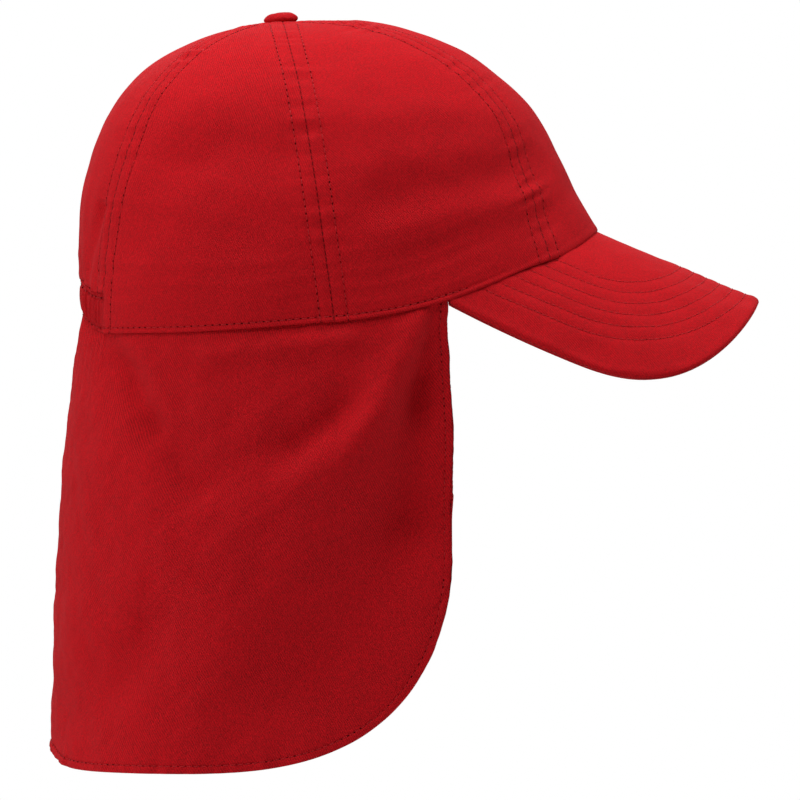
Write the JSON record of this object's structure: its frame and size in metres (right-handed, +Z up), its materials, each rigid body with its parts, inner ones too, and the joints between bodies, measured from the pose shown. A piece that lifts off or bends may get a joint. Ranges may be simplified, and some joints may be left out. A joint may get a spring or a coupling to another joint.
{
  "type": "legionnaire cap",
  "caption": "Cotton cap with a panelled crown, stitched curved peak, gathered elastic at the back and a long flap that shades the neck and ears.",
  "frame": {"origin": "middle of the head opening, level with the lower ends of the side seams", "axes": "+Z up, -Y forwards over the peak, +X towards the wearer's left"},
  "size_m": [0.1626, 0.2758, 0.2965],
  "materials": {
    "crown_twill": "matt red cotton twill with same-red stitching",
    "button_twill": "matt red cotton twill drawn over a button",
    "casing_twill": "matt red cotton twill, gathered over elastic",
    "peak_twill": "matt red cotton twill over a stiff board, with rows of stitching",
    "flap_twill": "matt red cotton twill, single layer with a narrow hem"
  },
  "bodies": {
    "root": {"panel_front": "crown_twill", "panel_side_front_left": "crown_twill", "panel_side_front_right": "crown_twill", "panel_side_back_left": "crown_twill", "panel_side_back_right": "crown_twill", "panel_back": "crown_twill", "top_button": "button_twill", "elastic_casing": "casing_twill", "peak": "peak_twill", "neck_flap": "flap_twill"}
  },
  "joints": []
}
